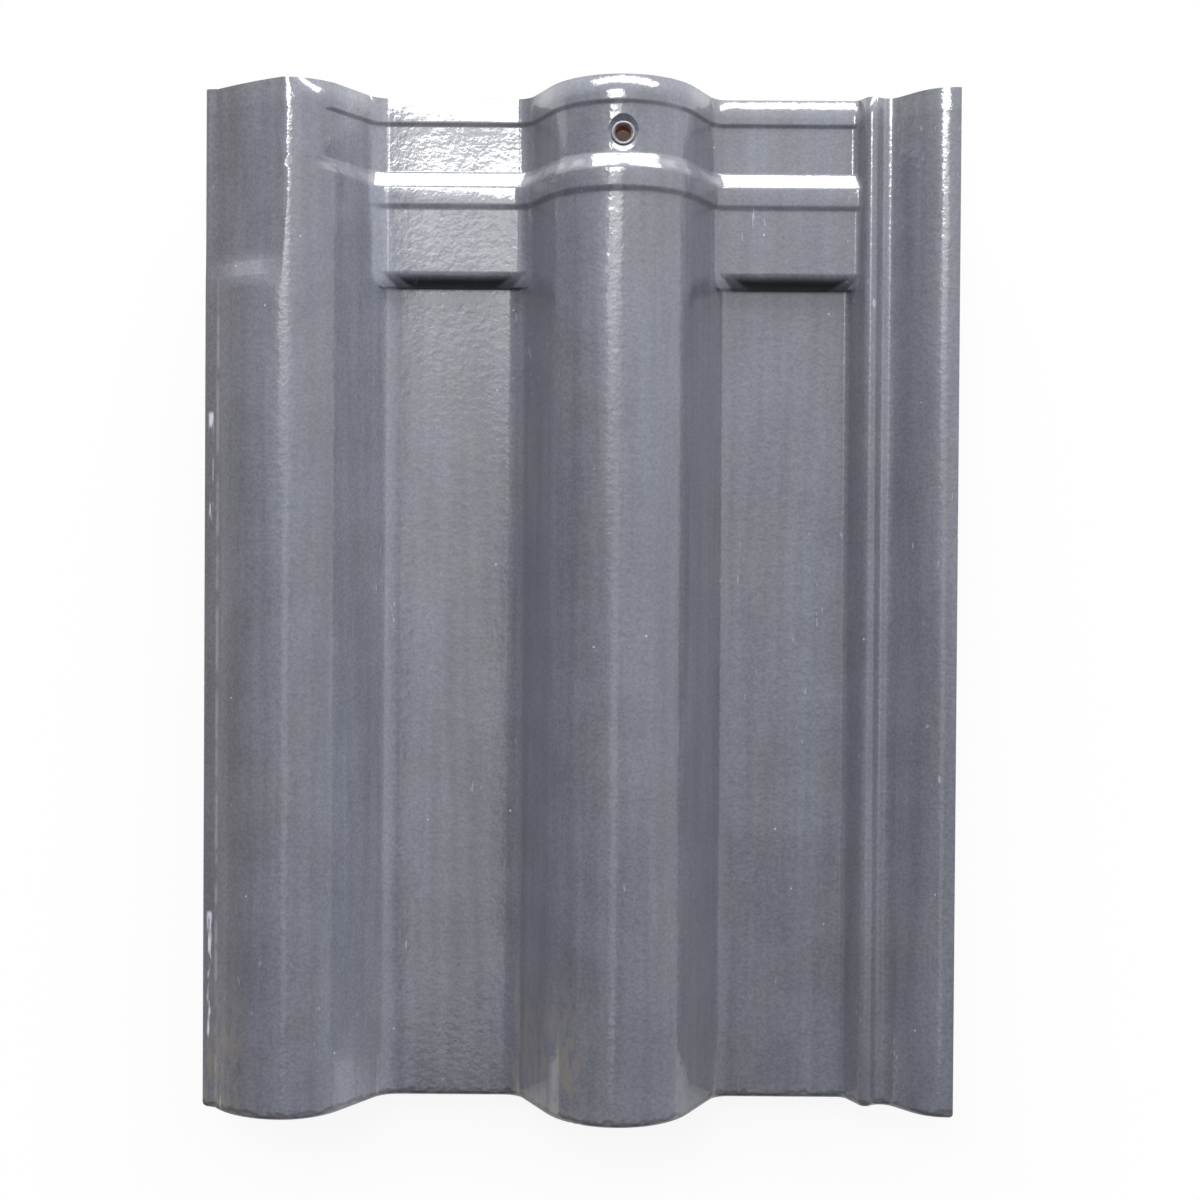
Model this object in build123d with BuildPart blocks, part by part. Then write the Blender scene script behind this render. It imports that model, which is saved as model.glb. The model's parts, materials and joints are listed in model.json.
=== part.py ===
from build123d import *
from math import acos, asin, atan2, cos, degrees, radians, sin, sqrt
import os

# Glazed interlocking roof tile, pressed and fired as one piece.
# +X points to the side lap that slips under the next tile, +Y to the head (the upper edge on the roof) and
# +Z out of the glazed face. The origin lies on the floor under the middle of the tile. Millimetres.

# The tile as a whole
length = 400.0
wall = 10.0
nose_drop = 8.0
pitch = 130.0

# Rolls: heights are taken from the floor of the pans
roll_rise = 40.0
roll_crown = 32.0
flank_angle = 62.0
base_radius = 8.0

# Cover roll at the left: rounded outside, with a flat lip along its free edge
cover_rise = 33.5
cover_crown = 26.0
cover_flank_angle = 56.0
cover_base = 10.0
cover_radius = 35.0
cover_angle = 54.5
cover_wall = 8.0
lip_run = 5.0
lip_angle = 24.0
lip_edge = 4.4

# Side lap at the right: a water bar, a valley and the rising strip under the next cover roll
bar_back = 31.0
bar_rise = 11.7
bar_radius = 3.5
bar_angle = 64.0
bar_fall = 45.0
bar_foot = 3.0
valley_radius = 5.0
lap_angle = 50.0
lap_edge_angle = -6.0
lap_radius = 18.0
lap_rise = 24.8
lap_under_radius = 12.0

# Head lap, distances down from the head edge
head_rib_end = 9.0
groove_start = 11.2
groove_end = 28.5
rib_start = 36.0
rib_end = 41.7
seat_start = 44.6
seat_end = 68.5
step_end = 75.0
relief_start = 64.0
relief_end = 80.0

# Head lap, heights over the pan floor and over the skin of the rolls
head_rib_pan, head_rib_roll = 5.5, -0.4
groove_pan, groove_roll = 4.4, -1.4
rib_pan, rib_roll = 7.8, 1.5
seat_pan = 6.6

# Corner relief on the cover roll: the round side pressed almost flat
relief_sagitta = 0.8
relief_drop = 2.0

# Nail hole on the crest of the middle roll
nail_from_head = 21.8
nail_radius = 3.0
nail_dish_radius = 7.2
nail_dish_depth = 2.0

# Underside: hanging nibs and the turned-down nose of the tail
nib_length = 14.0
nib_width = 34.0
nib_from_head = 52.0
nib_corner = 4.0
nib_draft = 8.0
nose_length = 12.0

# Rounded edges
tail_round = 2.0
side_round = 2.0
lip_round = 2.0


def s(angle):
    return sin(radians(angle))


def c(angle):
    return cos(radians(angle))


# Levels and stations that follow from the sizes above
pan_top = nose_drop + wall
pan_under = nose_drop
pan_mid = nose_drop + wall / 2
head = length / 2
tail = -length / 2
left_reach = pitch + cover_radius * s(cover_angle) + lip_run
lip_fall = lip_run * s(lip_angle) / c(lip_angle)
valley_drop = (bar_radius + valley_radius) * (1 - c(bar_fall))
lap_line = (
    lap_rise - bar_rise + valley_drop - valley_radius * (1 - c(lap_angle))
    - lap_radius * (c(lap_edge_angle) - c(lap_angle))
) / s(lap_angle)
bar_to_edge = (
    (bar_radius + valley_radius) * s(bar_fall) + valley_radius * s(lap_angle)
    + lap_line * c(lap_angle) + lap_radius * (s(lap_angle) - s(lap_edge_angle))
)
right_reach = pitch - bar_back + bar_to_edge
roll_x = (left_reach - right_reach) / 2
cover_x = roll_x - pitch
bar_x = roll_x + pitch - bar_back
left_edge = roll_x - left_reach
right_edge = roll_x + right_reach
crease = pan_top + cover_rise - cover_radius * (1 - c(cover_angle))
lip_top = crease - lip_fall
lip_foot = lip_top - lip_edge
lap_under = lap_radius - wall
edge_turn = degrees(asin(lap_radius * s(lap_edge_angle) / lap_under))
edge_under = pan_top + lap_rise - lap_radius * c(lap_edge_angle) + lap_under * c(edge_turn)
under_strip = (
    edge_under - pan_under - lap_under_radius * (1 - c(lap_angle)) - lap_under * (c(edge_turn) - c(lap_angle))
) / s(lap_angle)
lap_start = right_edge - (
    lap_under_radius * s(lap_angle) + under_strip * c(lap_angle) + lap_under * (s(lap_angle) - s(edge_turn))
)


def flank_length(fall, crown, base, angle):
    """Straight part of a flank that falls by the given height between crown and base curves."""
    return (fall - (crown + base) * (1 - c(angle))) / s(angle)


def half_base(fall, crown, base, angle):
    """Distance from a roll's crest line to where its base curve meets the pan."""
    return (crown + base) * s(angle) + flank_length(fall, crown, base, angle) * c(angle)


def roll_line(start, fall, crown, base):
    """Base curve, flank, crown, flank and base curve of the middle roll, drawn from left to right."""
    straight = flank_length(fall, crown, base, flank_angle)
    foot = JernArc(start, (1, 0), base, flank_angle)
    rise = PolarLine(foot @ 1, straight, flank_angle)
    top = JernArc(rise @ 1, rise % 1, crown, -2 * flank_angle)
    drop = PolarLine(top @ 1, straight, -flank_angle)
    return JernArc(drop @ 1, drop % 1, base, flank_angle)


def cover_flank(crest, pan, crown, base, sunk):
    """Inner side of the cover roll from its crest to the first pan; a sunk flank cuts into the crown."""
    turn = cover_flank_angle - degrees(acos(1 - sunk / crown))
    top = JernArc(crest, (1, 0), crown, -turn)
    fall = (top @ 1).Y - pan - base * (1 - c(cover_flank_angle))
    drop = PolarLine(top @ 1, fall / s(cover_flank_angle), -cover_flank_angle)
    return JernArc(drop @ 1, drop % 1, base, cover_flank_angle)


def top_line(rise, skin, relief):
    """Glazed face from the lip to the side-lap edge.

    The pans lie higher by rise, the middle roll is thicker by skin, and relief flattens the outer side
    of the cover roll from 0 for the full round to 1 for the pressed corner.
    """
    pan = pan_top + rise
    crest = (cover_x, pan_top + cover_rise)
    round_sagitta = cover_radius * (1 - c(cover_angle / 2))
    edge = Line((left_edge, lip_foot), (left_edge, lip_top))
    lip = Line(edge @ 1, (left_edge + lip_run, crease - relief * relief_drop))
    SagittaArc(lip @ 1, crest, round_sagitta + relief * (relief_sagitta - round_sagitta))
    inner = cover_flank(crest, pan, cover_crown, cover_base, max(-skin, 0))
    fall = roll_rise + skin - rise
    crown = roll_crown + skin
    pan_1 = Line(inner @ 1, (roll_x - half_base(fall, crown, base_radius, flank_angle), pan))
    roll_end = roll_line(pan_1 @ 1, fall, crown, base_radius)
    bar_line = (bar_rise - rise - (bar_radius + bar_foot) * (1 - c(bar_angle))) / s(bar_angle)
    bar_half = (bar_radius + bar_foot) * s(bar_angle) + bar_line * c(bar_angle)
    pan_2 = Line(roll_end @ 1, (bar_x - bar_half, pan))
    foot = JernArc(pan_2 @ 1, (1, 0), bar_foot, bar_angle)
    bar_wall = PolarLine(foot @ 1, bar_line, bar_angle)
    bar = JernArc(bar_wall @ 1, bar_wall % 1, bar_radius, -bar_angle - bar_fall)
    valley = JernArc(bar @ 1, bar % 1, valley_radius, bar_fall + lap_angle)
    strip = PolarLine(valley @ 1, lap_line, lap_angle)
    return JernArc(strip @ 1, strip % 1, lap_radius, lap_edge_angle - lap_angle)


def under_line():
    """Bare underside, one wall thickness below the main face, from the lip to the side-lap edge."""
    inner_radius = cover_radius - cover_wall
    crest = (cover_x, pan_top + cover_rise - cover_wall)
    sweep_angle = degrees(acos(1 - (crest[1] - lip_foot) / inner_radius))
    lip = Line((left_edge, lip_foot), (cover_x - inner_radius * s(sweep_angle), lip_foot))
    JernArc(lip @ 1, (c(sweep_angle), s(sweep_angle)), inner_radius, -sweep_angle)
    base = base_radius + wall
    inner = cover_flank(crest, pan_under, cover_crown - cover_wall, cover_base + wall, 0)
    pan_1 = Line(inner @ 1, (roll_x - half_base(roll_rise, roll_crown - wall, base, flank_angle), pan_under))
    roll_end = roll_line(pan_1 @ 1, roll_rise, roll_crown - wall, base)
    pan_2 = Line(roll_end @ 1, (lap_start, pan_under))
    foot = JernArc(pan_2 @ 1, (1, 0), lap_under_radius, lap_angle)
    strip = PolarLine(foot @ 1, under_strip, lap_angle)
    return JernArc(strip @ 1, strip % 1, lap_under, edge_turn - lap_angle)


roll_half = half_base(roll_rise, roll_crown, base_radius, flank_angle)
pan_left = cover_x + half_base(cover_rise, cover_crown, cover_base, cover_flank_angle)
pan_1_x = (pan_left + roll_x - roll_half) / 2
pan_2_x = (roll_x + roll_half + lap_start) / 2
dish_angle = 2 * degrees(atan2(nail_dish_radius - nail_radius, nail_dish_depth))


def across(from_head):
    """Plane across the tile at a distance down from the head; its x is +X and its y is +Z."""
    return Plane(origin=(0, head - from_head, 0), x_dir=(1, 0, 0), z_dir=(0, -1, 0))


def soft(part):
    """A slope that starts and ends level."""
    return part * part * (3 - 2 * part)


def straight(part):
    """A plain slope with its two corners taken off."""
    return min(max((part - corner / 2) / (1 - corner), 0), 1)


def bullnose(part):
    """A quarter round that ends upright."""
    return 1 - sqrt(1 - part * part)


def gone(from_head, start, end, ease):
    """How much of a slope lies behind a place, from 0 before its start to 1 after its end."""
    return ease(min(max((from_head - start) / (end - start), 0), 1))


def pan_rise(from_head):
    """Height of the pans over their main floor."""
    return (
        head_rib_pan
        + (groove_pan - head_rib_pan) * gone(from_head, head_rib_end, groove_start, soft)
        + (rib_pan - groove_pan) * gone(from_head, groove_end, rib_start, straight)
        + (seat_pan - rib_pan) * gone(from_head, rib_end, seat_start, soft)
        - seat_pan * gone(from_head, seat_end, step_end, bullnose)
    )


def roll_skin(from_head):
    """Height of the middle roll over its main skin."""
    return (
        head_rib_roll
        + (groove_roll - head_rib_roll) * gone(from_head, head_rib_end, groove_start, soft)
        + (rib_roll - groove_roll) * gone(from_head, groove_end, rib_start, straight)
        - rib_roll * gone(from_head, rib_end, seat_start, soft)
    )


def corner_relief(from_head):
    """Depth of the pressed corner on the cover roll, from 1 at the head to 0 on the full round."""
    return 1 - gone(from_head, relief_start, relief_end, soft)


# Places of the sections along each slope, as parts of its run
corner = 0.15
thirds = (0, 1 / 3, 2 / 3, 1)
corners = (0, corner, 1 - corner, 1)
quarter = (0, 0.4, 0.7, 0.9, 1)
slopes = (
    (head_rib_end, groove_start, thirds),
    (groove_end, rib_start, corners),
    (rib_end, seat_start, thirds),
    (seat_end, step_end, quarter),
    (relief_start, relief_end, thirds),
)
stations = {start + part * (end - start) for start, end, parts in slopes for part in parts}

with BuildPart() as roof_tile:
    # Body: one section after another from the head down to the tail
    for from_head in sorted(stations | {0, length}):
        with BuildSketch(across(from_head)) as section:
            with BuildLine():
                face_edge = top_line(pan_rise(from_head), roll_skin(from_head), corner_relief(from_head))
                under_edge = under_line()
                Line(face_edge @ 1, under_edge @ 1)
            make_face()
            ends = section.vertices().group_by(Axis.X)
            fillet(ends[0], lip_round)
            fillet(ends[-1], side_round)
    loft(ruled=True)

    # Nose: the tail edge turned down behind the pans and the middle roll
    with BuildSketch(across(length - nose_length)):
        with BuildLine():
            low_1 = Line((pan_left, 0), (roll_x - roll_half, 0))
            low_roll = roll_line(low_1 @ 1, roll_rise, roll_crown - pan_top, base_radius + pan_top)
            low_2 = Line(low_roll @ 1, (lap_start, 0))
            up_1 = Line((pan_left, pan_mid), (roll_x - roll_half, pan_mid))
            up_roll = roll_line(up_1 @ 1, roll_rise, roll_crown - wall / 2, base_radius + wall / 2)
            up_2 = Line(up_roll @ 1, (lap_start, pan_mid))
            Line(low_1 @ 0, up_1 @ 0)
            Line(low_2 @ 1, up_2 @ 1)
        make_face()
    extrude(amount=nose_length)

    # Nibs that hang on the batten, one under each pan
    with BuildSketch(Plane.XY.offset(pan_mid)):
        with Locations((pan_1_x, head - nib_from_head), (pan_2_x, head - nib_from_head)):
            RectangleRounded(nib_width, nib_length, nib_corner)
    extrude(amount=-pan_mid, taper=nib_draft)

    # Nail hole with its shallow dish
    with Locations((roll_x, head - nail_from_head, pan_top + roll_rise + groove_roll)):
        CounterSinkHole(nail_radius, nail_dish_radius, counter_sink_angle=dish_angle)

    # Rounded edge all round the tail
    fillet(roof_tile.faces().sort_by(Axis.Y)[0].edges(), tail_round)

os.makedirs("parts", exist_ok=True)
roof_tile.part.label = "roof_tile"
export_step(roof_tile.part, "parts/roof_tile.step")
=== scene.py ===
"""Looks of a glazed interlocking roof tile: one fired clay body under a slate-grey glaze."""

import json
import logging
from dataclasses import dataclass, field
from enum import Enum
from math import pi, radians, tan

import bmesh
import bpy
from mathutils import Euler, Matrix, Vector


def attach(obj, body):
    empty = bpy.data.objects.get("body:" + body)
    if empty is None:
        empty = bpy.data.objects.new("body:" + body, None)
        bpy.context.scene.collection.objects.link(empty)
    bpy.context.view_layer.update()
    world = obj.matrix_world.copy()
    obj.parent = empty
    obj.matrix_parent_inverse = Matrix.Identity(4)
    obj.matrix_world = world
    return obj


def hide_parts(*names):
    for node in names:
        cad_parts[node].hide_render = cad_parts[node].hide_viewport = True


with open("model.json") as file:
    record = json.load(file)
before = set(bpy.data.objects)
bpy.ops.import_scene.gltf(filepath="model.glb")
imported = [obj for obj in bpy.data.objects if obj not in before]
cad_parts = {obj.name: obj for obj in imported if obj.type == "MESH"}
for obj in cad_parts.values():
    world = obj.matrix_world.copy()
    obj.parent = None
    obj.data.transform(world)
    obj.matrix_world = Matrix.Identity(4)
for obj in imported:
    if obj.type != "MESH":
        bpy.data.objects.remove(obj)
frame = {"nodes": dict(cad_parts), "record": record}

LOG = logging.getLogger("roof_tile")
Socket = bpy.types.NodeSocket


class Zone(Enum):
    """Mesh attributes that tell the material where it is on the tile."""

    GLAZE = "glaze_cover"
    FACING = "facing"


@dataclass(frozen=True)
class Mottle:
    """One layer of noise: waves per metre, octaves, the contrast kept and the stretch on each axis."""

    scale: float
    detail: float
    low: float
    high: float
    stretch: tuple = (1, 1, 1)


class Graph:
    """Short hand for building one shader node tree."""

    def __init__(self, tree: bpy.types.NodeTree) -> None:
        """Empties the tree and keeps it.

        Args:
            tree: Node tree of a material or of the world.
        """
        self.tree = tree
        tree.nodes.clear()

    def add(self, kind: str, settings: dict | None = None, **inputs: object) -> bpy.types.Node:
        """Adds a node, sets its properties and fills or links its inputs.

        Args:
            kind: Node type name.
            settings: Node properties by name.
            inputs: Input sockets by name, with _ for a space; a value or an output socket.

        Returns:
            The new node.
        """
        node = self.tree.nodes.new(kind)
        for name, value in (settings or {}).items():
            setattr(node, name, value)
        for name, value in inputs.items():
            self.put(node.inputs[name.replace("_", " ")], value)
        return node

    def put(self, socket: Socket, value: object) -> None:
        """Links an output socket to an input, or sets the input's plain value.

        Args:
            socket: Input to fill.
            value: Output socket, number or colour.
        """
        if isinstance(value, bpy.types.NodeSocket):
            self.tree.links.new(value, socket)
        else:
            socket.default_value = value

    def math(self, operation: str, first: object, second: object = 0.0) -> Socket:
        """Adds a math node.

        Args:
            operation: Name of the operation.
            first: First number or socket.
            second: Second number or socket.

        Returns:
            The result socket.
        """
        node = self.add("ShaderNodeMath", {"operation": operation})
        self.put(node.inputs[0], first)
        self.put(node.inputs[1], second)
        return node.outputs[0]

    def times(self, *factors: object) -> Socket:
        """Multiplies numbers or sockets.

        Args:
            factors: Two or more factors.

        Returns:
            The product socket.
        """
        product = factors[0]
        for factor in factors[1:]:
            product = self.math("MULTIPLY", product, factor)
        return product

    def off(self, value: object, middle: float) -> Socket:
        """Measures how far a value is from a fixed one.

        Args:
            value: Socket to measure.
            middle: Value that gives 0.

        Returns:
            The distance, never negative.
        """
        return self.math("ABSOLUTE", self.math("SUBTRACT", value, middle))

    def past(self, value: object, start: float) -> Socket:
        """Measures how far a value is above a start.

        Args:
            value: Socket to measure.
            start: Value up to which the result is 0.

        Returns:
            The excess, never negative.
        """
        return self.math("MAXIMUM", self.math("SUBTRACT", value, start), 0.0)

    def ramp(
        self, value: object, low: float, high: float, to_low: float = 0.0, to_high: float = 1.0
    ) -> Socket:
        """Maps a value softly from one range to another.

        Args:
            value: Socket to map.
            low: Value that gives to_low.
            high: Value that gives to_high.
            to_low: First end of the result.
            to_high: Second end of the result.

        Returns:
            The mapped socket.
        """
        node = self.add("ShaderNodeMapRange", {"interpolation_type": "SMOOTHSTEP"}, Value=value)
        bounds = {"From Min": low, "From Max": high, "To Min": to_low, "To Max": to_high}
        for name, number in bounds.items():
            node.inputs[name].default_value = number
        return node.outputs[0]

    def noise(
        self, where: Socket, scale: float, detail: float = 2.0, stretch: tuple = (1, 1, 1)
    ) -> Socket:
        """Adds noise over the object's own coordinates.

        Args:
            where: Coordinates in metres.
            scale: Waves per metre.
            detail: Octaves.
            stretch: Factor on each axis before the noise.

        Returns:
            Noise from 0 to 1.
        """
        if stretch != (1, 1, 1):
            where = self.add("ShaderNodeMapping", Vector=where, Scale=stretch).outputs[0]
        return self.add("ShaderNodeTexNoise", Vector=where, Scale=scale, Detail=detail).outputs[0]

    def mottle(self, where: Socket, layer: Mottle, to_low: float = 0.0, to_high: float = 1.0) -> Socket:
        """Adds one layer of noise and maps its contrast to a range.

        Args:
            where: Coordinates in metres.
            layer: Layer to add.
            to_low: First end of the result.
            to_high: Second end of the result.

        Returns:
            The mapped noise.
        """
        noise = self.noise(where, layer.scale, layer.detail, layer.stretch)
        return self.ramp(noise, layer.low, layer.high, to_low, to_high)

    def mix(self, share: object, first: object, second: object) -> Socket:
        """Mixes two colours.

        Args:
            share: Share of the second colour.
            first: Colour or socket.
            second: Colour or socket.

        Returns:
            The mixed colour.
        """
        node = self.add("ShaderNodeMix", {"data_type": "RGBA"})
        for socket, value in ((node.inputs[0], share), (node.inputs[6], first), (node.inputs[7], second)):
            self.put(socket, value)
        return node.outputs[2]

    def attribute(self, zone: Zone, output: str = "Fac") -> Socket:
        """Reads a mesh attribute.

        Args:
            zone: Attribute to read.
            output: Output of the attribute node to take.

        Returns:
            Its socket.
        """
        return self.add("ShaderNodeAttribute", {"attribute_name": zone.value}).outputs[output]

    def axes(self, vector: Socket) -> tuple[Socket, Socket, Socket]:
        """Splits a vector.

        Args:
            vector: Socket to split.

        Returns:
            Its X, Y and Z sockets.
        """
        return tuple(self.add("ShaderNodeSeparateXYZ", Vector=vector).outputs)


@dataclass(frozen=True)
class GlazedClay:
    """Fired clay with a slate glaze on the weather side; sizes in metres, colours linear."""

    # Colours and gloss; the free edge of the cover roll is duller
    slate: tuple = (0.128, 0.130, 0.153, 1)
    slate_blue: tuple = (0.145, 0.152, 0.180, 1)
    slate_warm: tuple = (0.146, 0.137, 0.149, 1)
    # Painted shade: near-black colour for the tail-facing steps
    step_shade: tuple = (0.012, 0.013, 0.016, 1)
    thin: tuple = (0.215, 0.186, 0.160, 1)
    rim: tuple = (0.050, 0.044, 0.042, 1)
    clay: tuple = (0.420, 0.190, 0.095, 1)
    clay_dark: tuple = (0.250, 0.105, 0.055, 1)
    scuff: tuple = (0.62, 0.63, 0.68, 1)
    # Paler glaze for the lip's crease, and painted highlight with thin glaze for the second rib
    pale_glaze_and_highlight: tuple = (0.30, 0.285, 0.29, 1)
    clay_roughness: float = 0.88
    roughness: tuple = (0.38, 0.46)
    coat_ior: float = 1.7
    coat_roughness: float = 0.075
    dull_edge: tuple = (-0.140, -0.124)
    edge_specular: tuple = (0.1, 0.5)
    edge_coat: tuple = (0.12, 1.0)

    # Where the glaze ends, and the drift of its colour
    ragged_edge: Mottle = Mottle(260, 2, 0.3, 0.7)
    ragged_depth: float = 0.18
    glaze_edge: tuple = (0.44, 0.56)
    cloud: Mottle = Mottle(38, 3, 0.32, 0.68)
    cloud_range: tuple = (0.955, 1.045)
    drawn: Mottle = Mottle(90, 3, 0.36, 0.66, (1, 0.07, 1))
    blue_share: float = 0.8
    patch: Mottle = Mottle(60, 3, 0.45, 0.68, (1, 0.3, 1))
    warm_share: float = 0.5
    warm_edge: tuple = (-0.118, -0.138)
    warm_edge_share: float = 0.7
    grain: Mottle = Mottle(850, 2, 0.25, 0.75)
    grain_range: tuple = (0.85, 1.15)
    runs: Mottle = Mottle(230, 2, 0.3, 0.7, (1, 0.05, 1))
    runs_range: tuple = (0.93, 1.07)
    # Painted light: the cover roll's flank beside the first pan is made paler
    painted_flank_span: tuple = ((-0.098, -0.090), (-0.071, -0.078))
    painted_flank_light: float = 0.42

    # Relief: orange peel, hollow pans, round head edge and eased feet
    peel: float = 0.00010
    peel_detail: float = 2
    peel_layers: tuple = ((330, 1.0), (900, 0.25), (70, 0.8))
    pan_middles: tuple = (-0.0504, 0.0836)
    pan_bows: tuple = (2.4, 1.6)
    pan_flat: float = 0.008
    pan_half: float = 0.026
    head_edge: float = 0.1928
    head_fall: float = 42.0
    head_span: tuple = ((-0.114, -0.100), (0.122, 0.112))
    first_pan_side: tuple = (0.030, 0.036)
    head_rib: float = 0.1912
    rib_tilt: float = 0.04
    rib_feet: tuple = ((0.1899, 0.0012, 0.0040), (0.1569, 0.0016, 0.0046))
    foot_ease: float = 0.45
    step_foot: float = 0.1238
    step_top: float = 0.1325
    step_side: tuple = (0.0385, 0.0365)
    horn_span: tuple = (0.018, 0.032)
    horn_blur: tuple = (-0.0004, 0.0014)
    corner_reach: tuple = (0.0060, 0.0035)
    corner_ease: float = 0.92

    # Painted shade on the tail-facing face of each step
    step_shade_facing: tuple = (-0.2, -0.65)
    step_shade_span: tuple = (0.014, 0.031)
    step_shade_blur: float = 0.002
    step_shade_top: tuple = (0.140, 0.136)
    step_shade_share: float = 0.97

    # Thin brown glaze, dark rim and bare clay at the tail
    tail: float = -0.2
    brown: Mottle = Mottle(340, 3, 0.40, 0.62, (1, 0.35, 1))
    brown_reach: tuple = (0.075, 0.012)
    brown_share: float = 0.7
    left_facing: tuple = (-0.25, -0.60)
    left_side: tuple = (0.04, 0.02)
    right_facing: tuple = (0.55, 0.85)
    right_share: float = 0.2
    rim_ragged: Mottle = Mottle(240, 2, 0.3, 0.7)
    rim_wander: float = 0.0009
    rim_inset: float = 0.0021
    rim_half: tuple = (0.0013, 0.0003)
    rim_share: float = 0.6
    crumbs: Mottle = Mottle(190, 3, 0.52, 0.66)
    crumb_reach: tuple = (0.0014, 0.0006)
    crumb_share: float = 0.5

    # Paler glaze on the lip's crease, and thin glaze with painted highlight on the second rib
    patchy: Mottle = Mottle(120, 2, 0.35, 0.6)
    lip_crease: float = -0.1410
    crease_half: tuple = (0.0012, 0.0004)
    crease_top: tuple = (0.130, 0.118)
    crease_share: float = 0.6
    rib_line: float = 0.1675
    rib_half: tuple = (0.0024, 0.0008)
    rib_level: tuple = (0.92, 0.75)
    rib_span: tuple = ((-0.112, -0.100), (0.066, 0.054))
    rib_share: float = 0.75

    # Chips on the lip, each from its top to its foot; scratches and specks
    lip_middle: float = -0.1441
    lip_half: tuple = (0.0016, 0.0003)
    lip_chips: tuple = ((0.0743, 0.036), (-0.1217, -0.168))
    flakes: Mottle = Mottle(650, 5, 0.62, 0.80, (1, 0.16, 1))
    chip_cap: tuple = (0.009, 0.002)
    cap_lift: float = 0.15
    chip_lift: tuple = (0.09, 0.20)
    chip_top: float = 0.002
    chip_tail: float = 0.01
    chip_share: float = 0.9
    strokes: Mottle = Mottle(620, 3, 0.66, 0.74, (1, 0.25, 1))
    stroke_field: Mottle = Mottle(34, 3, 0.55, 0.66, (1, 0.6, 1))
    stroke_share: float = 0.4
    speck_scale: float = 150.0
    speck_size: tuple = (0.085, 0.04)
    speck_luck: tuple = (0.90, 0.93)
    speck_share: float = 0.6

    # Bare clay
    blotch: Mottle = Mottle(45, 2, 0.3, 0.7)
    grit_scale: float = 1500
    grit_detail: float = 3
    grit_depth: float = 0.0002
    grit_strength: float = 0.6

    def build(self) -> bpy.types.Material:
        """Makes the material.

        Returns:
            The finished material.
        """
        material = bpy.data.materials.new("glazed_clay")
        material.use_nodes = True
        graph = Graph(material.node_tree)
        where = graph.add("ShaderNodeTexCoord").outputs["Object"]
        ragged = graph.mottle(where, self.ragged_edge, -self.ragged_depth, self.ragged_depth)
        cover = graph.math("ADD", graph.attribute(Zone.GLAZE), ragged)
        shader = graph.add("ShaderNodeMixShader", Fac=graph.ramp(cover, *self.glaze_edge))
        graph.put(shader.inputs[1], self.clay_shader(graph, where))
        graph.put(shader.inputs[2], self.glaze_shader(graph, where))
        graph.add("ShaderNodeOutputMaterial", Surface=shader.outputs[0])
        return material

    def glaze_shader(self, graph: Graph, where: Socket) -> Socket:
        """Glossy slate skin with orange peel, painted light on a flank, painted shade on the steps, thin
        brown runs near the tail, a paler crease and a painted rib highlight.

        Args:
            graph: Node tree under construction.
            where: Object coordinates.

        Returns:
            The shader socket.
        """
        cloud = graph.mottle(where, self.cloud)
        colour = self.slate_colour(graph, where, cloud)
        # Painted shade on the steps
        colour = graph.mix(self.painted_step_shade(graph, where), colour, self.step_shade)
        colour = graph.mix(self.thinned(graph, where), colour, self.thin)
        colour = graph.mix(self.tail_rim(graph, where), colour, self.rim)
        colour = graph.mix(self.tail_crumbs(graph, where), colour, self.clay)
        # Paler crease, and painted highlight with thin glaze on the second rib
        colour = graph.mix(self.paler_glaze_and_highlight(graph, where), colour, self.pale_glaze_and_highlight)
        colour = graph.mix(self.scratches(graph, where), colour, self.scuff)
        marks = graph.math("MAXIMUM", self.specks(graph, where), self.chips(graph, where))
        colour = graph.mix(marks, colour, self.scuff)
        height = self.relief(graph, where)
        bump = graph.add("ShaderNodeBump", Strength=1.0, Distance=1.0, Height=height).outputs[0]
        bump = self.eased(graph, where, bump)
        across, _, _ = graph.axes(where)
        return graph.add(
            "ShaderNodeBsdfPrincipled",
            Base_Color=colour,
            Roughness=graph.ramp(cloud, 0, 1, *self.roughness),
            Specular_IOR_Level=graph.ramp(across, *self.dull_edge, *self.edge_specular),
            Normal=bump,
            Coat_Weight=graph.ramp(across, *self.dull_edge, *self.edge_coat),
            Coat_IOR=self.coat_ior,
            Coat_Roughness=self.coat_roughness,
            Coat_Normal=bump,
        ).outputs[0]

    def slate_colour(self, graph: Graph, where: Socket, cloud: Socket) -> Socket:
        """Slate that drifts between blue and warm grey, drawn out along the tile, with a fine grain, and
        painted light on the cover roll's flank beside the first pan.

        Args:
            graph: Node tree under construction.
            where: Object coordinates.
            cloud: Broad cloudy noise.

        Returns:
            The colour socket.
        """
        blueness = graph.mottle(where, self.drawn, 0.0, self.blue_share)
        colour = graph.mix(blueness, self.slate, self.slate_blue)
        across, _, _ = graph.axes(where)
        by_edge = graph.ramp(across, *self.warm_edge, 0.0, self.warm_edge_share)
        warmth = graph.math("MAXIMUM", graph.mottle(where, self.patch, 0.0, self.warm_share), by_edge)
        colour = graph.mix(warmth, colour, self.slate_warm)
        grain = graph.mottle(where, self.grain, *self.grain_range)
        runs = graph.mottle(where, self.runs, *self.runs_range)
        blot = graph.times(runs, graph.ramp(cloud, 0, 1, *self.cloud_range))
        # Painted light on the cover roll's flank beside the first pan
        flank: object = self.painted_flank_light
        for end, inside in self.painted_flank_span:
            flank = graph.times(flank, graph.ramp(across, end, inside))
        level = graph.times(grain, blot, graph.math("ADD", flank, 1.0))
        shade = graph.add("ShaderNodeVectorMath", {"operation": "SCALE"}, Scale=level)
        graph.put(shade.inputs[0], colour)
        return shade.outputs[0]

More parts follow.
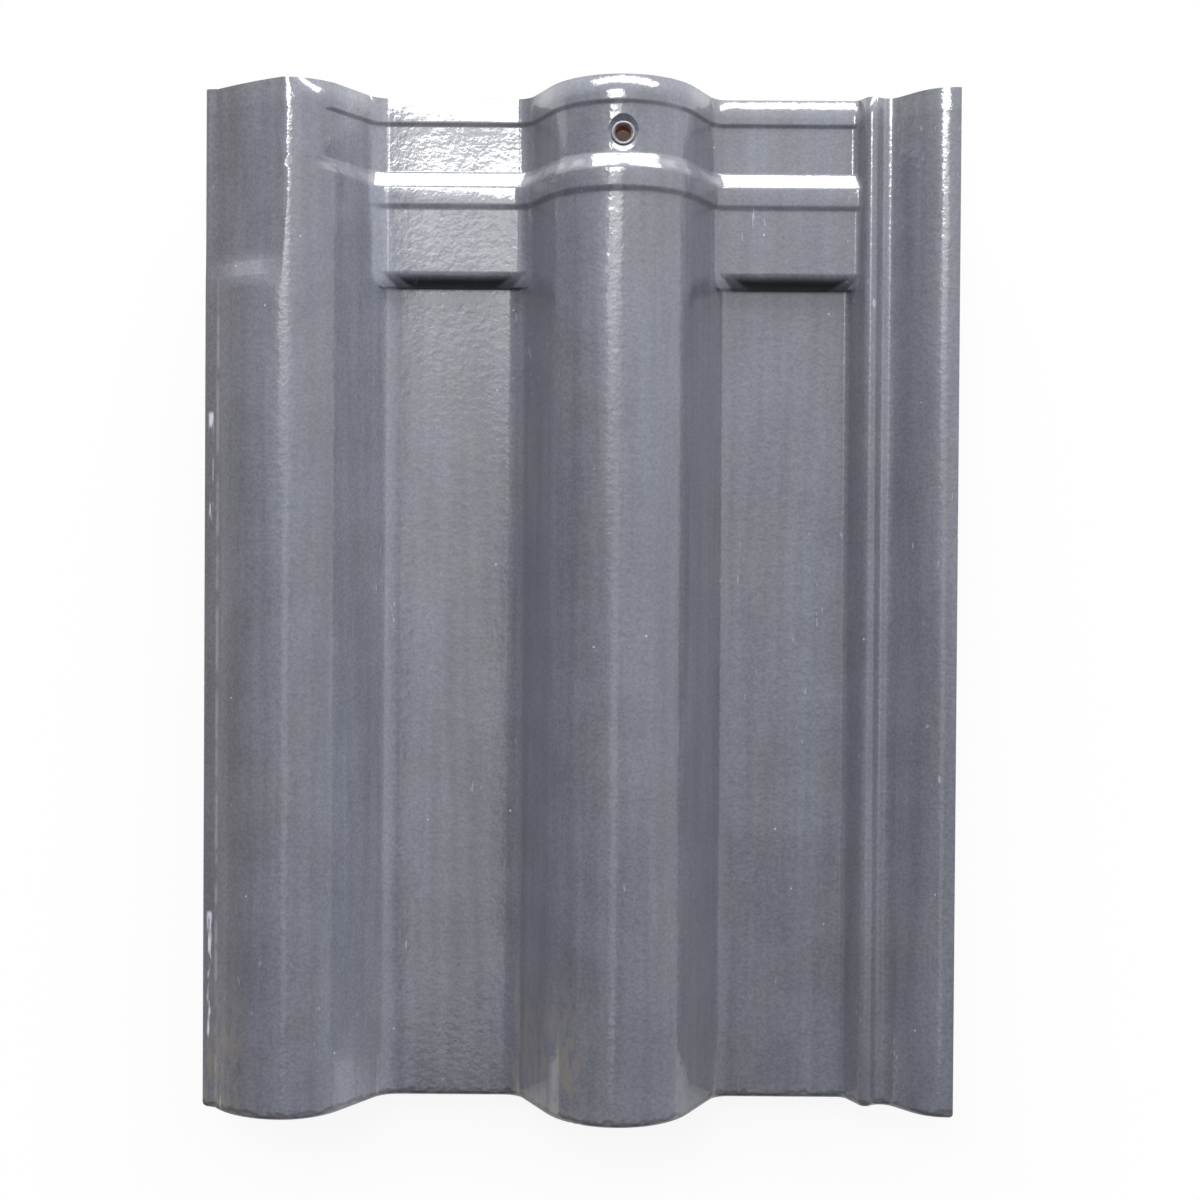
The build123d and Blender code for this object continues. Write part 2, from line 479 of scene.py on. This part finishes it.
    def relief(self, graph: Graph, where: Socket) -> Socket:
        """Orange peel in three sizes, hollow pans and the rubbed round of the head edge.

        Args:
            graph: Node tree under construction.
            where: Object coordinates.

        Returns:
            Height in metres.
        """
        height: object = 0.0
        for scale, share in self.peel_layers:
            wave = graph.times(graph.noise(where, scale, self.peel_detail), share * self.peel)
            height = graph.math("ADD", height, wave)
        across, along, _ = graph.axes(where)
        for middle, bow in zip(self.pan_middles, self.pan_bows):
            out = graph.past(graph.off(across, middle), self.pan_flat)
            out = graph.math("MINIMUM", out, self.pan_half - self.pan_flat)
            height = graph.math("ADD", height, graph.times(out, out, bow))
        beyond = graph.past(along, self.head_edge)
        fall = graph.times(beyond, beyond, self.head_fall)
        for end, inside in self.head_span:
            fall = graph.times(fall, graph.ramp(across, end, inside))
        off_first_pan = graph.off(across, self.pan_middles[0])
        fall = graph.times(fall, graph.ramp(off_first_pan, *self.first_pan_side))
        tilt = graph.times(graph.past(along, self.head_rib), self.rib_tilt)
        return graph.math("SUBTRACT", height, graph.math("ADD", fall, tilt))

    def eased(self, graph: Graph, where: Socket, normal: Socket) -> Socket:
        """Takes slope along the tile out of the rib feet, and out of the step's lower corners.

        Args:
            graph: Node tree under construction.
            where: Object coordinates.
            normal: Normal to ease.

        Returns:
            The eased normal.
        """
        across, along, _ = graph.axes(where)
        share: object = 0.0
        for foot, inner, outer in self.rib_feet:
            near = graph.ramp(graph.off(along, foot), outer, inner, 0.0, self.foot_ease)
            share = graph.math("MAXIMUM", share, near)
        low, full = (self.step_foot - reach for reach in self.corner_reach)
        on_step = graph.ramp(along, low, full, 0.0, self.corner_ease)
        for middle in self.pan_middles:
            off = graph.off(across, middle)
            horn = graph.ramp(off, *self.horn_span, self.step_foot, self.step_top)
            below = graph.ramp(graph.math("SUBTRACT", horn, along), *self.horn_blur)
            corner = graph.times(below, graph.ramp(off, *self.step_side))
            share = graph.math("MAXIMUM", share, graph.times(corner, on_step))
        side, slope, up = graph.axes(normal)
        slope = graph.times(slope, graph.math("SUBTRACT", 1.0, share))
        joined = graph.add("ShaderNodeCombineXYZ", X=side, Y=slope, Z=up).outputs[0]
        return graph.add("ShaderNodeVectorMath", {"operation": "NORMALIZE"}, Vector=joined).outputs[0]

    def painted_step_shade(self, graph: Graph, where: Socket) -> Socket:
        """Painted shade: nearly black colour on the step in each pan where it faces the tail, thinning
        out at both ends.

        Args:
            graph: Node tree under construction.
            where: Object coordinates.

        Returns:
            Share of the painted step shade.
        """
        across, along, _ = graph.axes(where)
        _, tailward, _ = graph.axes(graph.attribute(Zone.FACING, "Vector"))
        # Painted shade: the more a face turns to the tail, the darker
        thick = graph.ramp(tailward, *self.step_shade_facing, 0.0, self.step_shade_share)
        share: object = 0.0
        for middle in self.pan_middles:
            off = graph.off(across, middle)
            foot = graph.ramp(off, *self.step_shade_span, self.step_foot, self.step_top)
            above = graph.math("SUBTRACT", along, foot)
            share = graph.math("MAXIMUM", share, graph.ramp(above, 0.0, self.step_shade_blur))
        return graph.times(thick, share, graph.ramp(along, *self.step_shade_top))

    def thinned(self, graph: Graph, where: Socket) -> Socket:
        """Thin, mottled brown glaze near the tail on the flanks that face the free edge.

        Args:
            graph: Node tree under construction.
            where: Object coordinates.

        Returns:
            Share of thin-glaze colour.
        """
        place, along, _ = graph.axes(where)
        across, _, _ = graph.axes(graph.attribute(Zone.FACING, "Vector"))
        brown_from, brown_full = (self.tail + reach for reach in self.brown_reach)
        near_tail = graph.ramp(along, brown_from, brown_full, 0.0, self.brown_share)
        left = graph.times(graph.ramp(across, *self.left_facing), graph.ramp(place, *self.left_side))
        right = graph.ramp(across, *self.right_facing, 0.0, self.right_share)
        flank = graph.math("MAXIMUM", left, right)
        return graph.times(near_tail, flank, graph.mottle(where, self.brown))

    def tail_rim(self, graph: Graph, where: Socket) -> Socket:
        """Dark, ragged edge where the glaze gathered round the tail.

        Args:
            graph: Node tree under construction.
            where: Object coordinates.

        Returns:
            Share of rim colour.
        """
        _, along, _ = graph.axes(where)
        ragged = graph.mottle(where, self.rim_ragged, -self.rim_wander, self.rim_wander)
        off_line = graph.off(graph.math("ADD", along, ragged), self.tail + self.rim_inset)
        return graph.ramp(off_line, *self.rim_half, 0.0, self.rim_share)

    def tail_crumbs(self, graph: Graph, where: Socket) -> Socket:
        """Bare clay that shows in spots on the very edge of the tail.

        Args:
            graph: Node tree under construction.
            where: Object coordinates.

        Returns:
            Share of clay colour.
        """
        _, along, _ = graph.axes(where)
        crumb_from, crumb_full = (self.tail + reach for reach in self.crumb_reach)
        spots = graph.mottle(where, self.crumbs, 0.0, self.crumb_share)
        return graph.times(graph.ramp(along, crumb_from, crumb_full), spots)

    def paler_glaze_and_highlight(self, graph: Graph, where: Socket) -> Socket:
        """Paler glaze along the lip's crease, and thin glaze with a painted highlight on the rib over the
        middle roll.

        Args:
            graph: Node tree under construction.
            where: Object coordinates.

        Returns:
            Share of the paler crease colour and the painted rib highlight.
        """
        across, along, _ = graph.axes(where)
        _, _, level = graph.axes(graph.attribute(Zone.FACING, "Vector"))
        off_crease = graph.off(across, self.lip_crease)
        on_crease = graph.ramp(off_crease, *self.crease_half, 0.0, self.crease_share)
        crease = graph.times(on_crease, graph.ramp(along, *self.crease_top))
        # Painted highlight, partly thin glaze: paler colour on the rib's sloping faces
        on_rib = graph.ramp(graph.off(along, self.rib_line), *self.rib_half)
        rib = graph.times(on_rib, graph.ramp(level, *self.rib_level, 0.0, self.rib_share))
        for end, inside in self.rib_span:
            rib = graph.times(rib, graph.ramp(across, end, inside))
        return graph.times(graph.math("MAXIMUM", crease, rib), graph.mottle(where, self.patchy))

    def chips(self, graph: Graph, where: Socket) -> Socket:
        """Whitish chipped stretches on the lip, solid at the top and breaking up downwards.

        Args:
            graph: Node tree under construction.
            where: Object coordinates.

        Returns:
            Share of scuff colour.
        """
        across, along, _ = graph.axes(where)
        on_lip = graph.ramp(graph.off(across, self.lip_middle), *self.lip_half)
        flakes = graph.noise(where, self.flakes.scale, self.flakes.detail, self.flakes.stretch)
        share: object = 0.0
        for top, foot in self.lip_chips:
            cap_from, cap_full = (top - reach for reach in self.chip_cap)
            cap = graph.ramp(along, cap_from, cap_full, 0.0, self.cap_lift)
            fade = graph.math("ADD", graph.ramp(along, foot, top, *self.chip_lift), cap)
            broken = graph.math("ADD", flakes, fade)
            broken = graph.ramp(broken, self.flakes.low, self.flakes.high, 0.0, self.chip_share)
            above_foot = graph.ramp(along, foot - self.chip_tail, foot)
            inside = graph.times(above_foot, graph.ramp(along, top, top - self.chip_top))
            share = graph.math("MAXIMUM", share, graph.times(broken, inside))
        return graph.times(on_lip, share)

    def scratches(self, graph: Graph, where: Socket) -> Socket:
        """Patches of fine pale scratches, drawn out along the tile.

        Args:
            graph: Node tree under construction.
            where: Object coordinates.

        Returns:
            Share of scuff colour.
        """
        strokes = graph.mottle(where, self.strokes, 0.0, self.stroke_share)
        return graph.times(strokes, graph.mottle(where, self.stroke_field))

    def specks(self, graph: Graph, where: Socket) -> Socket:
        """Sparse pale specks in the glaze.

        Args:
            graph: Node tree under construction.
            where: Object coordinates.

        Returns:
            Share of scuff colour.
        """
        cells = graph.add("ShaderNodeTexVoronoi", Vector=where, Scale=self.speck_scale)
        lucky = graph.add("ShaderNodeSeparateColor", Color=cells.outputs["Color"]).outputs[0]
        dot = graph.ramp(cells.outputs["Distance"], *self.speck_size)
        return graph.times(dot, graph.ramp(lucky, *self.speck_luck, 0.0, self.speck_share))

    def clay_shader(self, graph: Graph, where: Socket) -> Socket:
        """Dry, grainy terracotta.

        Args:
            graph: Node tree under construction.
            where: Object coordinates.

        Returns:
            The shader socket.
        """
        colour = graph.mix(graph.mottle(where, self.blotch), self.clay_dark, self.clay)
        grit = graph.noise(where, self.grit_scale, self.grit_detail)
        bump = graph.add(
            "ShaderNodeBump", Strength=self.grit_strength, Distance=self.grit_depth, Height=grit
        ).outputs[0]
        return graph.add(
            "ShaderNodeBsdfPrincipled", Base_Color=colour, Roughness=self.clay_roughness, Normal=bump
        ).outputs[0]


def nail_hole() -> tuple[Vector, float]:
    """Reads the nail hole's place and radius from the frame.

    Returns:
        The middle of the bore and its radius, in metres.
    """
    mount = next(mount for mount in frame["record"]["mounts"] if mount["name"] == "nail_hole")
    return Vector(mount["pos_m"]), mount["dims"]["r_mm"] / 1000


@dataclass
class RoofTile:
    """The fired tile: a merged copy of the solid's mesh, smoothed and zoned for its material."""

    node: str = "roof_tile"
    merge: float = 0.000004
    smooth_angle: float = 38.0
    bore_clearance: float = 0.0004
    side_cover: float = 0.5
    cover_slope: float = 1.6
    dish_reach: float = 0.009
    dish_angle: float = 13.0
    finish: GlazedClay = field(default_factory=GlazedClay)

    def build(self) -> bpy.types.Object:
        """Makes the tile's visible mesh.

        Returns:
            The new object, riding on the root body.
        """
        mesh = frame["nodes"][self.node].data.copy()
        mesh.name = "glazed_tile"
        shape = bmesh.new()
        shape.from_mesh(mesh)
        bmesh.ops.remove_doubles(shape, verts=shape.verts[:], dist=self.merge)
        bmesh.ops.recalc_face_normals(shape, faces=shape.faces[:])
        for face in shape.faces:
            face.smooth = True
        shape.edges.index_update()
        rim = [edge.index for edge in shape.edges if self.on_dish_rim(edge)]
        shape.to_mesh(mesh)
        shape.free()
        mesh.set_sharp_from_angle(angle=radians(self.smooth_angle))
        for index in rim:
            mesh.edges[index].use_edge_sharp = True
        tile = bpy.data.objects.new("glazed_tile", mesh)
        bpy.context.scene.collection.objects.link(tile)
        tile.modifiers.new("even_normals", "WEIGHTED_NORMAL").keep_sharp = True
        self.zone(mesh)
        self.dress(tile)
        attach(tile, "root")
        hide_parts(self.node)
        return tile

    def on_dish_rim(self, edge: bmesh.types.BMEdge) -> bool:
        """Tells whether an edge folds the face round the nail hole.

        Args:
            edge: Edge to look at.

        Returns:
            Whether it lies near the hole and is not flat.
        """
        middle, _ = nail_hole()
        near = all((vertex.co.xy - middle.xy).length < self.dish_reach for vertex in edge.verts)
        return near and edge.is_manifold and edge.calc_face_angle() > radians(self.dish_angle)

    def zone(self, mesh: bpy.types.Mesh) -> None:
        """Writes how far the glaze covers each point, and which way the point faces.

        Args:
            mesh: Mesh to mark.
        """
        cover = mesh.attributes.new(Zone.GLAZE.value, "FLOAT", "POINT")
        facing = mesh.attributes.new(Zone.FACING.value, "FLOAT_VECTOR", "POINT")
        middle, radius = nail_hole()
        for vertex in mesh.vertices:
            share = min(max(self.side_cover + vertex.normal.z * self.cover_slope, 0.0), 1.0)
            if (vertex.co.xy - middle.xy).length < radius + self.bore_clearance:
                share = 0.0
            cover.data[vertex.index].value = share
            facing.data[vertex.index].vector = vertex.normal

    def dress(self, tile: bpy.types.Object) -> None:
        """Gives the tile its material.

        Args:
            tile: Object to dress.
        """
        tile.data.materials.clear()
        tile.data.materials.append(self.finish.build())


@dataclass
class NailBead:
    """Bead of glaze that gathered round the nail hole, in the bottom of its dish."""

    ring: float = 0.0040
    thick: float = 0.0008
    dish_floor: float = 0.0546
    proud: float = 0.7
    sides: int = 12
    steps: int = 56

    def build(self, glaze: bpy.types.Material) -> bpy.types.Object:
        """Makes the bead.

        Args:
            glaze: Material of the tile.

        Returns:
            The new object, riding on the root body.
        """
        middle, _ = nail_hole()
        shape = bmesh.new()
        turn = Matrix.Rotation(pi / 2, 4, "X")
        bmesh.ops.create_circle(shape, segments=self.sides, radius=self.thick, matrix=turn)
        place = Vector((middle.x + self.ring, middle.y, self.dish_floor + self.thick * self.proud))
        bmesh.ops.translate(shape, verts=shape.verts[:], vec=place)
        bmesh.ops.spin(
            shape, geom=shape.verts[:] + shape.edges[:], cent=(middle.x, middle.y, 0), axis=(0, 0, 1),
            angle=2 * pi, steps=self.steps, use_merge=True,
        )
        bmesh.ops.recalc_face_normals(shape, faces=shape.faces[:])
        for face in shape.faces:
            face.smooth = True
        mesh = bpy.data.meshes.new("nail_bead")
        shape.to_mesh(mesh)
        shape.free()
        cover = mesh.attributes.new(Zone.GLAZE.value, "FLOAT", "POINT")
        facing = mesh.attributes.new(Zone.FACING.value, "FLOAT_VECTOR", "POINT")
        for vertex in mesh.vertices:
            cover.data[vertex.index].value = 1.0
            facing.data[vertex.index].vector = (0.0, 0.0, 1.0)
        mesh.materials.append(glaze)
        bead = bpy.data.objects.new("nail_bead", mesh)
        bpy.context.scene.collection.objects.link(bead)
        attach(bead, "root")
        return bead


@dataclass(frozen=True)
class SoftBox:
    """One area lamp that looks at the middle of the tile."""

    name: str
    left_tilt: float
    head_tilt: float
    distance: float
    width: float
    height: float
    radiance: float
    colour: tuple = (1.0, 1.0, 1.0)

    def build(self) -> bpy.types.Object:
        """Hangs the lamp.

        Returns:
            The lamp object.
        """
        lamp = bpy.data.lights.new(self.name, "AREA")
        lamp.shape = "RECTANGLE"
        lamp.size, lamp.size_y = self.width, self.height
        lamp.energy = self.radiance * pi * self.width * self.height
        lamp.color = self.colour
        away = Vector((-tan(radians(self.left_tilt)), tan(radians(self.head_tilt)), 1.0)).normalized()
        holder = bpy.data.objects.new(self.name, lamp)
        holder.location = away * self.distance
        holder.rotation_euler = away.to_track_quat("Z", "Y").to_euler()
        bpy.context.scene.collection.objects.link(holder)
        return holder


@dataclass
class Studio:
    """Pale floor, soft lamps and the camera above the tile."""

    # Floor: plain white away from the tile, shaded under it and in the head mouth of the middle roll
    floor_half: float = 6.0
    pale: tuple = (0.80, 0.80, 0.80, 1)
    under_x: float = 0.147
    under_y: float = 0.2
    under_fade: float = 0.07
    near_white: float = 0.9
    shadow_reach: float = 0.12
    floor_shade: float = 2.5
    floor_drop: float = 0.0002
    shaded: tuple = (0.085, 0.062, 0.050, 1)
    mouth: tuple = (0.0166, 0.1870)
    mouth_dark: float = 0.006
    mouth_soft: float = 0.023

    # Surround
    from_right: float = 0.3
    glow_span: tuple = (-0.36, 0.55)
    dim: tuple = (0.05, 0.053, 0.06, 1)
    glow: tuple = (1.10, 1.13, 1.20, 1)

    # Camera: turn in degrees, focal length and frame side in pixels
    camera_at: tuple = (0.0105424, 0.0081361, 0.682419)
    camera_turn: tuple = (-0.6403, 0.1707, 0.3728)
    focal: float = 1649.39
    frame_side: float = 1200.0
    sensor: float = 36.0
    near_clip: float = 0.05

    # Lamps: tilt to the left and to the head in degrees, then distance, width, height and radiance
    lamps: tuple = (
        SoftBox("key", 9.5, 27.5, 2.0, 0.67, 0.52, 12.6),
        SoftBox("key_fade", 9.5, 17.0, 2.0, 0.67, 0.19, 2.2),
        SoftBox("key_end", 9.5, 11.6, 2.0, 0.67, 0.18, 0.9),
        SoftBox("left_wash", 6.7, 0.0, 2.0, 1.5, 0.34, 0.6),
        SoftBox("head_window", -8.0, 67.0, 2.4, 3.0, 0.80, 9.0, (0.96, 0.98, 1.0)),
    )

    def build(self) -> None:
        """Makes the whole studio."""
        self.floor()
        self.world()
        for lamp in self.lamps:
            lamp.build()
        self.camera()

    def floor(self) -> bpy.types.Object:
        """Lays the pale floor.

        Returns:
            The floor object.
        """
        mesh = bpy.data.meshes.new("floor")
        shape = bmesh.new()
        bmesh.ops.create_grid(shape, x_segments=1, y_segments=1, size=self.floor_half)
        shape.to_mesh(mesh)
        shape.free()
        material = bpy.data.materials.new("pale_floor")
        material.use_nodes = True
        graph = Graph(material.node_tree)
        path = graph.add("ShaderNodeLightPath")
        glossy, through = path.outputs["Is Glossy Ray"], path.outputs["Is Transmission Ray"]
        mirrored = graph.math("MAXIMUM", glossy, through)
        white = graph.add("ShaderNodeEmission", Color=(1, 1, 1, 1), Strength=1.0)
        across, along, _ = graph.axes(graph.add("ShaderNodeTexCoord").outputs["Object"])
        past_x = graph.math("SUBTRACT", graph.off(across, 0.0), self.under_x)
        past_y = graph.math("SUBTRACT", graph.off(along, 0.0), self.under_y)
        past = graph.math("MAXIMUM", past_x, past_y)
        off_x, off_y = graph.off(across, self.mouth[0]), graph.off(along, self.mouth[1])
        squares = graph.math("ADD", graph.times(off_x, off_x), graph.times(off_y, off_y))
        clear = graph.ramp(graph.math("SQRT", squares), self.mouth_dark, self.mouth_soft)
        matt = graph.add("ShaderNodeBsdfDiffuse", Color=graph.mix(clear, self.shaded, self.pale))
        near = graph.ramp(past, -self.under_fade, 0.0, 0.0, self.near_white)
        far = graph.ramp(past, 0.0, self.shadow_reach, 0.0, 1.0 - self.near_white)
        straight = graph.times(path.outputs["Is Camera Ray"], clear, graph.math("ADD", near, far))
        mirrored = graph.times(mirrored, graph.ramp(past, 0.0, self.floor_shade, 0.0, self.near_white))
        shader = graph.add("ShaderNodeMixShader", Fac=graph.math("MAXIMUM", straight, mirrored))
        graph.put(shader.inputs[1], matt.outputs[0])
        graph.put(shader.inputs[2], white.outputs[0])
        graph.add("ShaderNodeOutputMaterial", Surface=shader.outputs[0])
        mesh.materials.append(material)
        floor = bpy.data.objects.new("floor", mesh)
        floor.location.z = -self.floor_drop
        bpy.context.scene.collection.objects.link(floor)
        return floor

    def world(self) -> None:
        """Gives a soft surround that glows on the head side and is dim behind the tail."""
        world = bpy.data.worlds.new("surround")
        bpy.context.scene.world = world
        world.use_nodes = True
        graph = Graph(world.node_tree)
        across, along, _ = graph.axes(graph.add("ShaderNodeTexCoord").outputs["Generated"])
        side = graph.math("ADD", along, graph.times(across, self.from_right))
        headward = graph.ramp(side, *self.glow_span)
        seen = graph.add("ShaderNodeLightPath").outputs["Is Camera Ray"]
        colour = graph.mix(seen, graph.mix(headward, self.dim, self.glow), (1, 1, 1, 1))
        back = graph.add("ShaderNodeBackground", Color=colour, Strength=1.0)
        graph.add("ShaderNodeOutputWorld", Surface=back.outputs[0])

    def camera(self) -> bpy.types.Object:
        """Places the camera straight above the tile.

        Returns:
            The camera object.
        """
        data = bpy.data.cameras.new("camera")
        data.sensor_width = self.sensor
        data.lens = self.sensor * self.focal / self.frame_side
        data.dof.use_dof = False
        data.clip_start = self.near_clip
        camera = bpy.data.objects.new("camera", data)
        camera.rotation_mode = "ZYX"
        camera.location = self.camera_at
        camera.rotation_euler = Euler([radians(turn) for turn in self.camera_turn], "ZYX")
        bpy.context.scene.collection.objects.link(camera)
        bpy.context.scene.camera = camera
        return camera


def main() -> None:
    """Builds the tile and its studio, and notes the sizes."""
    logging.basicConfig(level=logging.INFO)
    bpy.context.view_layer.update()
    tile = RoofTile().build()
    LOG.info("%s: %d faces", tile.name, len(tile.data.polygons))
    bead = NailBead().build(tile.data.materials[0])
    LOG.info("%s: %d faces", bead.name, len(bead.data.polygons))
    Studio().build()
    bpy.context.scene.view_settings.view_transform = "Standard"


if __name__ == "__main__":
    main()
